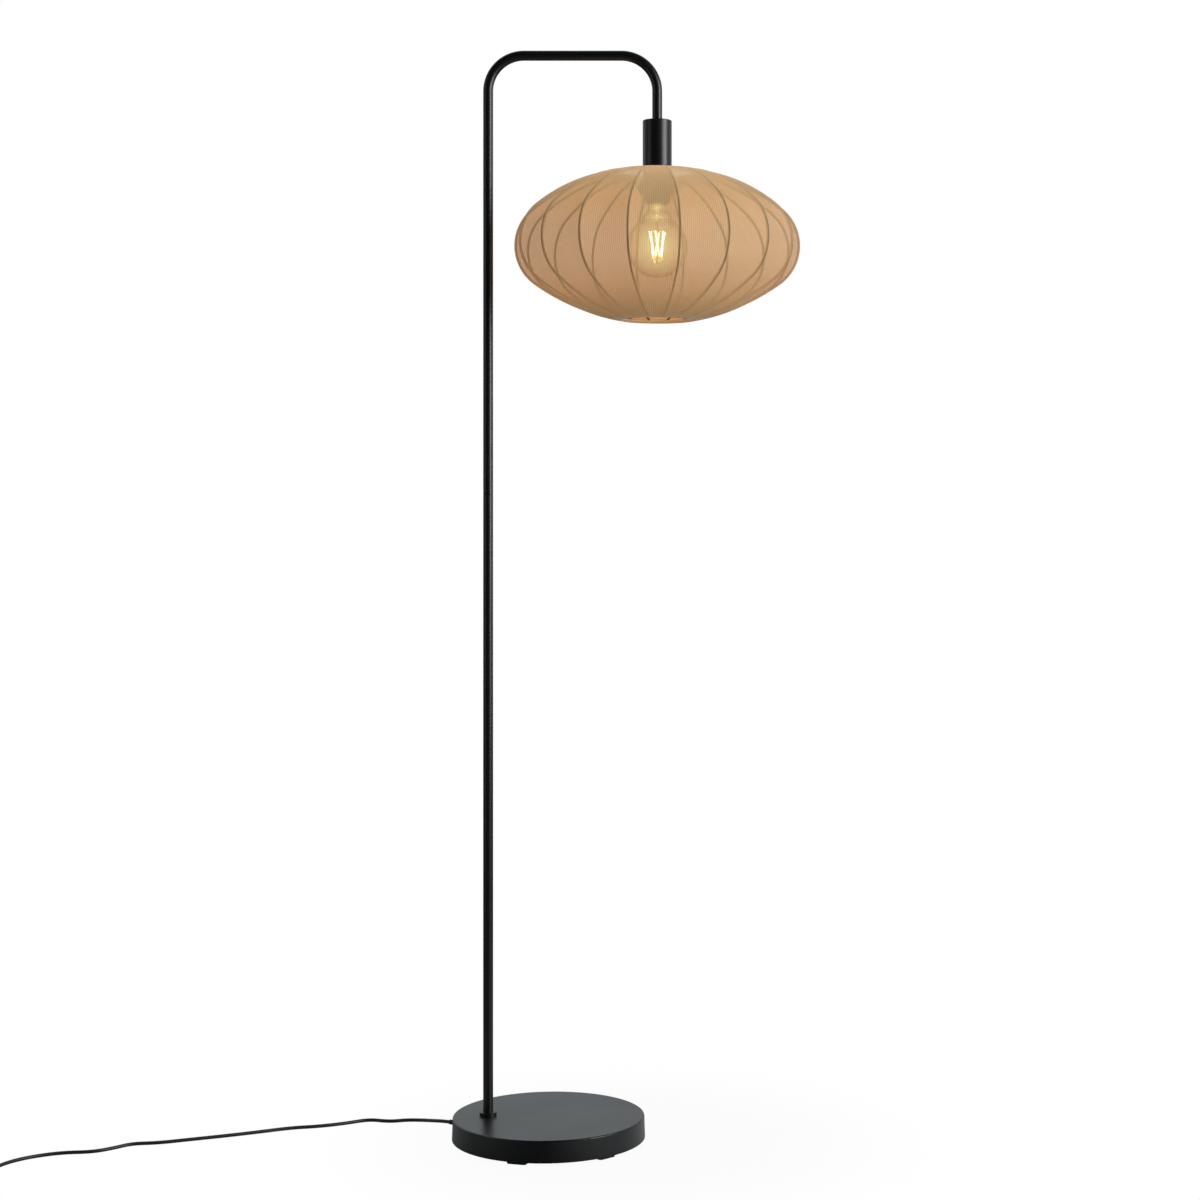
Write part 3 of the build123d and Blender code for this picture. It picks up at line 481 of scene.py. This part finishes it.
# %% The coat
coat_dark, coat_pale = (0.0016, 0.0017, 0.002), (0.0032, 0.0034, 0.004)
coat = Finish("black_coat", coat_pale)
grain, patches = coat.noise(450, 2), coat.noise(14, 2)
coat.feed("Roughness", patches.between(0.3, 0.4))
coat.feed("Base Color", coat.blend(patches, coat_dark, coat_pale))
coat.bump(grain, 0.000008)
coat.cover(
    "base_cover",
    "base_plate",
    "pole_collar",
    "pole_lower",
    "pole_middle",
    "pole_upper",
    "arch_tube",
    "holder_cup",
)

# %% [markdown]
# ## Shade cloth
#
# The cloth is a sand-coloured knit with fine ribs down its length. It is thin, so what is behind it
# shows faintly: the alpha says how much. It is stretched most at the shade's widest place and least at
# the two mouths, where it is denser and hides more. Where it lies on a rib wire a narrow dark line is
# painted: the dark wire seen through the cloth, and painted shade where the wire keeps light from coming
# through. At the hems it is double, so it closes up; from outside a paler band is painted along them,
# partly the double cloth and partly a painted highlight on the edge. The distances that are kept on the
# mesh place all of this, so it follows every panel. Each fade says, in metres, at which distance it
# starts and ends.

# %% The knit and its distances
sand, sand_shade = (0.66, 0.50, 0.27), (0.56, 0.395, 0.195)
# The rib colour is the wire seen through plus painted shade; the hem colour is a painted highlight on the
# double cloth.
rib_shadow, hem_highlight_sand = (0.11, 0.075, 0.04), (0.64, 0.55, 0.38)
knit = Finish(
    "shade_knit",
    sand,
    Roughness=0.85,
    Specular_IOR_Level=0.2,
    Sheen_Weight=0.1,
    Sheen_Roughness=0.4,
    Emission_Strength=1.0,
)
across, down, _ = knit.parts(knit.node("ShaderNodeUVMap", {"uv_map": "cut"}))
weave = across.wave(wale_pitch) * 0.7 + down.wave(course_pitch) * 0.3
rib_distance = knit.node("ShaderNodeAttribute", {"attribute_name": "rib_distance"}, output="Fac")
mouth_distance = knit.node("ShaderNodeAttribute", {"attribute_name": "mouth_distance"}, output="Fac")
inner_face = knit.node("ShaderNodeNewGeometry", output="Backfacing")
on_rib = rib_distance.fade(0.0007, 0.0019)
on_hem = mouth_distance.fade(0.004, 0.0048)
# Paler band on the outer face at the hems: the double cloth and a painted highlight.
double_hem_highlight = mouth_distance.fade(0.006, 0.017) * (1 - inner_face)
dense = mouth_distance.fade(0.04, 0.185)

# %% Colour and how much shows through
rib_shows, dense_hides = 0.74, 0.56
# A painted shade line along each rib: the wire seen through the cloth and the shade it casts there.
rib_shade_line = on_rib * (1 - on_hem) * (rib_shows - dense_hides * dense)
# The knit's furrows are painted darker, a painted shade, and a noise varies the yarn's tone at random.
shaded = knit.blend(weave * 0.5 + knit.noise(22, 3) * 0.5, sand_shade, sand)
# The hems' outer face is painted paler: a painted highlight along the double cloth.
shaded = knit.blend(double_hem_highlight, shaded, hem_highlight_sand)
knit.feed("Base Color", knit.blend(rib_shade_line, shaded, rib_shadow))

dense_alpha, closed_alpha = 0.95, 0.97
stretched = weave.between(0.62, 0.78)
single_layer = stretched + (dense_alpha - stretched) * dense
closed = on_hem.maths("MAXIMUM", on_hem, on_rib * 0.9)
knit.feed("Alpha", single_layer + (closed_alpha - single_layer) * closed)
knit.bump(weave, 0.00025)
knit.cover("shade_cloth")

# %% [markdown]
# ## The cloth's glow
#
# The lit bulb makes the whole cloth glow. Light that scatters in a thin cloth takes many samples to
# follow, so a weak emission stands for it: warm, stronger in the lower half than in the upper one, weaker
# again at the lower mouth and strongest at the upper one. Near the mouths it also stands for the studio
# light: painted shade at the lower mouth, which faces down, and painted light at the upper one, which
# the light from above reaches. The inner face glows more than the outer, but hardly at all beside the
# hems, and a rib blocks the glow.

# %% The glow's colours and places
glow_above, glow_below = (0.125, 0.046, 0.012), (0.205, 0.075, 0.016)
glow_lower_mouth, glow_upper_mouth = (0.10, 0.03, 0.004), (0.26, 0.115, 0.04)
glow_inside = (0.27, 0.10, 0.012)
cloth_height = knit.parts(knit.place())[2]
lower_half = cloth_height.fade(shade_middle + 0.08, shade_middle - 0.085, 0.0, 1.0)
near_mouth = mouth_distance.fade(0.01, 0.13)
near_hem = mouth_distance.fade(0.015, 0.06)
glowing = knit.blend(lower_half, glow_above, glow_below)
# Painted shade at the lower mouth, which faces down, and painted light at the upper one, lit from above.
glowing = knit.blend(near_mouth * lower_half, glowing, glow_lower_mouth)
glowing = knit.blend(near_mouth * (1 - lower_half), glowing, glow_upper_mouth)
glowing = knit.blend(inner_face * (1 - near_hem), glowing, glow_inside)
unlit = rib_shade_line.maths("MAXIMUM", rib_shade_line, inner_face * near_hem * 0.9)
knit.feed("Emission Color", knit.blend(unlit, glowing, (0, 0, 0)))
print("glow over", round(outline_length * 1000), "mm of cloth from mouth to mouth")

# %% [markdown]
# ## Metals, rubber and plastic
#
# These are plain finishes. Each still has the fine surface that its process leaves: plating is bright
# with a faint grain, cast iron is rough, rubber is dull and moulded plastic has a light texture. One
# function makes them all, since only their numbers differ.


# %% Plain finishes
def plain(name, colour, roughness, grain, covers, **uniform):
    """A finish of one colour. It takes two limits of roughness, and its grain's scale and depth."""
    finish = Finish(name, colour, **uniform)
    (smoothest, roughest), (scale, depth) = roughness, grain
    surface = finish.noise(scale, 3)
    finish.feed("Roughness", surface.between(smoothest, roughest))
    darker = [0.75 * part for part in colour]
    finish.feed("Base Color", finish.blend(surface, darker, colour))
    finish.bump(surface, depth)
    finish.cover(*covers)


# %% Metals
zinc_plated = ["base_nipple", "base_washer", "base_nut", "base_plate_screws", "thread_bushes"]
zinc_plated += ["joint_nipples", "cup_washer", "cup_nut", "cup_nipple", "bulb_supports"]
brass_pieces = ["holder_shell", "holder_contact"]
cap_pieces = ["bulb_cap", "bulb_contact"]
wire_pieces = ["shade_fitter", "shade_ribs", "shade_bottom_ring"]
plain("cast_iron", (0.10, 0.10, 0.105), (0.6, 0.85), (260, 0.0004), ["base_weight"], Metallic=0.6)
plain("zinc_plate", (0.62, 0.62, 0.64), (0.25, 0.45), (700, 0.00004), zinc_plated, Metallic=1.0)
plain("holder_brass", (0.70, 0.50, 0.22), (0.2, 0.4), (600, 0.00003), brass_pieces, Metallic=1.0)
plain("pin_nickel", (0.66, 0.63, 0.58), (0.15, 0.3), (500, 0.00003), ["plug_pins"], Metallic=1.0)
plain("cap_brass", (0.30, 0.22, 0.12), (0.25, 0.4), (500, 0.00003), cap_pieces, Metallic=1.0)
plain("frame_wire", (0.10, 0.075, 0.055), (0.45, 0.6), (800, 0.00003), wire_pieces)

# %% Rubber and plastic
holder_pieces = ["holder_body", "shade_ring", "switch_block"]
sleeves = ["cord_grip", "switch_sleeves", "plug_sleeve"]
switch_pieces = ["switch_base", "switch_cover", "switch_button"]
plain("pad_rubber", (0.02, 0.02, 0.02), (0.7, 0.9), (500, 0.0001), ["base_pads"])
plain("holder_plastic", (0.02, 0.02, 0.021), (0.4, 0.6), (600, 0.00005), holder_pieces)
plain("cap_insulator", (0.01, 0.01, 0.012), (0.1, 0.2), (300, 0.00002), ["bulb_insulator"])
plain("lead_sheath", (0.012, 0.012, 0.012), (0.35, 0.5), (900, 0.00002), ["mains_lead", "inner_lead"])
plain("soft_sleeve", (0.015, 0.015, 0.015), (0.55, 0.7), (700, 0.00004), sleeves)
plain("switch_plastic", (0.014, 0.014, 0.015), (0.35, 0.5), (1200, 0.00006), switch_pieces)
plain("plug_plastic", (0.014, 0.014, 0.015), (0.25, 0.4), (900, 0.00003), ["plug_body"])
plain("tie_strap", (0.016, 0.016, 0.017), (0.8, 0.95), (1500, 0.0002), ["coil_tie"])

# %% [markdown]
# ## The lit bulb
#
# The globe is clear glass, so it shows as a faint ring, where the eye looks along its wall. A lit globe
# also holds a faint haze of light, which the glass gives off where it faces the eye. The filaments are
# the brightest thing in the lamp and shine through the cloth. They fade towards their feet and at the
# back, so that they don't melt into one patch.

# %% Glass
glass = Finish("bulb_glass", (0.30, 0.22, 0.10), Emission_Strength=7)
glass_haze = (0.85, 0.9, 0.25)
rim = glass.node("ShaderNodeLayerWeight", None, {"Blend": 0.5}, output="Facing")
facing_eye = rim.maths("POWER", 1 - rim, 5)
glass.feed("Emission Color", glass.blend(facing_eye, (0, 0, 0), glass_haze))
glass.feed("Alpha", rim.maths("POWER", rim, 3).between(0.035, 0.885))
glass.feed("Roughness", glass.noise(60, 1).between(0.02, 0.06))
glass.cover("bulb_globe", "bulb_stem")

# %% Filaments
filament_bright, filament_dim = (1.0, 0.88, 0.52), (0.06, 0.04, 0.008)
foot_top, foot_end = 1.249, 1.235
dimmed_depth = 0.004
filament = Finish("lit_filament", (1.0, 0.82, 0.45), Emission_Strength=12)
_, strip_depth, strip_height = filament.parts(filament.place())
foot_share = strip_height.fade(foot_top, foot_end, 0.0, 1.0)
behind_share = strip_depth.fade(0.0, dimmed_depth, 0.0, 0.75)
dimmer = foot_share.maths("MAXIMUM", foot_share, behind_share)
filament.feed("Emission Color", filament.blend(dimmer, filament_bright, filament_dim))
filament.feed("Roughness", filament.noise(300, 1).between(0.4, 0.6))
filament.cover("bulb_filaments")

# %% [markdown]
# ## The studio
#
# The lamp stands in a white studio. World and floor look white to the camera, but they light the lamp
# at a plain level, so colours come out about as they are written. What the black metal reflects is kept
# apart, because a black satin coat shows little else. The world that it reflects is dark in front, pale
# behind and slightly cool.

# %% The world
ambient_level = 0.15
mirrored_front, mirrored_back = 0.012, 0.68
front_edge, back_edge = -0.15, 0.5
studio_white, cool_white = (1, 1, 1, 1), (0.93, 1.0, 1.03, 1)
world = bpy.data.worlds.new("studio")
bpy.context.scene.world = world
world.use_nodes = True
world_tree = world.node_tree
background = world_tree.nodes["Background"]


def world_node(kind, links, settings=None, numbers=None):
    """Adds a node to the world. Links go from another node's output to an input by name."""
    made = world_tree.nodes.new(kind)
    for name, value in (settings or {}).items():
        setattr(made, name, value)
    for name, value in (numbers or {}).items():
        made.inputs[name].default_value = value
    for name, output in links.items():
        world_tree.links.new(output, made.inputs[name])
    return made.outputs


# %% What the world shows to each kind of ray
rays = world_node("ShaderNodeLightPath", {})
is_camera, is_glossy = rays["Is Camera Ray"], rays["Is Glossy Ray"]
direction = world_node("ShaderNodeTexCoord", {})["Generated"]
depth = world_node("ShaderNodeSeparateXYZ", {0: direction})["Y"]
smooth = {"interpolation_type": "SMOOTHSTEP"}
levels = {"From Min": front_edge, "From Max": back_edge}
levels.update({"To Min": mirrored_front, "To Max": mirrored_back})
mirrored = world_node("ShaderNodeMapRange", {"Value": depth}, smooth, levels)["Result"]
floats, colours = {"data_type": "FLOAT"}, {"data_type": "RGBA"}
lit = world_node("ShaderNodeMix", {0: is_glossy, 3: mirrored}, floats, {2: ambient_level})[0]
strength = world_node("ShaderNodeMath", {0: is_camera, 1: lit}, {"operation": "MAXIMUM"})[0]
tint = world_node("ShaderNodeMix", {0: is_glossy}, colours, {6: studio_white, 7: cool_white})[2]
world_tree.links.new(strength, background.inputs["Strength"])
world_tree.links.new(tint, background.inputs["Color"])
print("world lights at", ambient_level, "and mirrors", mirrored_front, "to", mirrored_back)

# %% [markdown]
# ## The floor
#
# A wide pale plane carries the lamp. Near the base the camera sees a little of its real shading, so the
# shadow stays, and further off it is plain white. Reflections see it as a darker grey, palest right of
# the base and a little paler left of it, as they would with dark walls in front and a lamp at the right.

# %% The floor's paint
floor_paint = Finish("floor_paint", (0.6, 0.6, 0.6), Roughness=0.9, Specular_IOR_Level=0.0)
floor_place = floor_paint.place()
reach = floor_paint.node("ShaderNodeVectorMath", {"operation": "LENGTH"}, {0: floor_place}, "Value")
whiteness = reach.fade(0.15, 0.5, 0.95, 1.0)
floor_x = floor_paint.parts(floor_place)[0]
paler_right = floor_x.fade(-0.12, 0.08, 0.0, 0.45)
paler_left = floor_x.fade(-0.12, -0.36, 0.0, 0.18)
grey_level = (paler_right + paler_left) * reach.fade(0.5, 1.2, 1.0, 0.0) + 0.09
grey = floor_paint.blend(grey_level, (0, 0, 0), (0.95, 1.0, 1.02))

# %% What the floor shows to each kind of ray
lit_floor = Wire(floor_paint, floor_paint.shader.outputs[0])
mirrored_floor = floor_paint.node("ShaderNodeEmission", None, {"Color": grey})
plain_white = floor_paint.node("ShaderNodeEmission", None, {"Strength": 1.0})
camera_ray = floor_paint.node("ShaderNodeLightPath", output="Is Camera Ray")
glossy_ray = floor_paint.node("ShaderNodeLightPath", output="Is Glossy Ray")


def either(share, first, second):
    """Mixes two shaders of the floor."""
    return floor_paint.node("ShaderNodeMixShader", None, {0: share, 1: first, 2: second})


real_floor = either(glossy_ray, lit_floor, mirrored_floor)
seen_floor = either(camera_ray * whiteness, real_floor, plain_white)
floor_output = floor_paint.tree.nodes["Material Output"]
floor_paint.tree.links.new(seen_floor.socket, floor_output.inputs["Surface"])

# %% The floor's plane
floor_size = 16
bpy.ops.object.select_all(action="DESELECT")
bpy.ops.mesh.primitive_plane_add(size=floor_size)
floor = bpy.context.object
floor.name = "floor"
floor_paint.cover("floor")

# %% [markdown]
# ## Lights
#
# Broad soft lights light the cloth from the right, the front, behind and above. They are left out of
# reflections, because each would draw its own streak on the black tubes. Two tall lights do only that:
# a strong one at the right draws the streak on the pole and cup, and a weak one the line at the left. A
# small warm lamp in the bulb lights the inside of the shade.


# %% The soft lights
def soft_light(name, place, target, width, height, power, lights=True, mirrored=True):
    """A rectangular area light that faces its target. It may be left out of light or reflections."""
    data = bpy.data.lights.new(name, "AREA")
    data.shape = "RECTANGLE"
    data.size, data.size_y = width, height
    data.energy = power
    light = bpy.data.objects.new(name, data)
    light.location = place
    light.rotation_euler = (Vector(target) - Vector(place)).to_track_quat("-Z", "Y").to_euler()
    light.visible_diffuse, light.visible_glossy = lights, mirrored
    bpy.context.scene.collection.objects.link(light)
    print("light", name, power, "W")


shade_place = (shade_x, 0, shade_middle)
pole_place = (0, 0, 0.9)
soft_light("streak_right", (2.5, -1.2, 1.6), pole_place, 1.5, 2.2, 82, lights=False)
soft_light("streak_left", (-2.4, -1.1, 1.3), pole_place, 0.9, 2.4, 6, lights=False)
soft_light("side_right", (2.6, -1.6, 1.3), shade_place, 1.6, 1.6, 30, mirrored=False)
soft_light("front_high", (0.9, -3.2, 2.4), shade_place, 1.6, 1.6, 22, mirrored=False)
soft_light("behind", (-1.8, 2.6, 1.6), shade_place, 2.0, 2.0, 20, mirrored=False)
soft_light("front_left", (-2.2, -2.4, 1.3), shade_place, 1.6, 1.6, 7, mirrored=False)
soft_light("top", (0.2, -0.4, 3.4), shade_place, 2.0, 2.0, 19, mirrored=False)

# %% The lamp in the bulb
bulb_low, bulb_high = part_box("bulb_filaments")
glow_data = bpy.data.lights.new("bulb_glow", "POINT")
glow_data.energy, glow_data.color = 0.12, (1.0, 0.60, 0.24)
glow_data.shadow_soft_size = 0.012
glow = bpy.data.objects.new("bulb_glow", glow_data)
glow.location = (bulb_low + bulb_high) / 2
bpy.context.scene.collection.objects.link(glow)
print("lamp in the bulb at", [round(part, 3) for part in glow.location])

# %% Last step: the view transform
scene = bpy.context.scene
scene.view_settings.view_transform = "Standard"
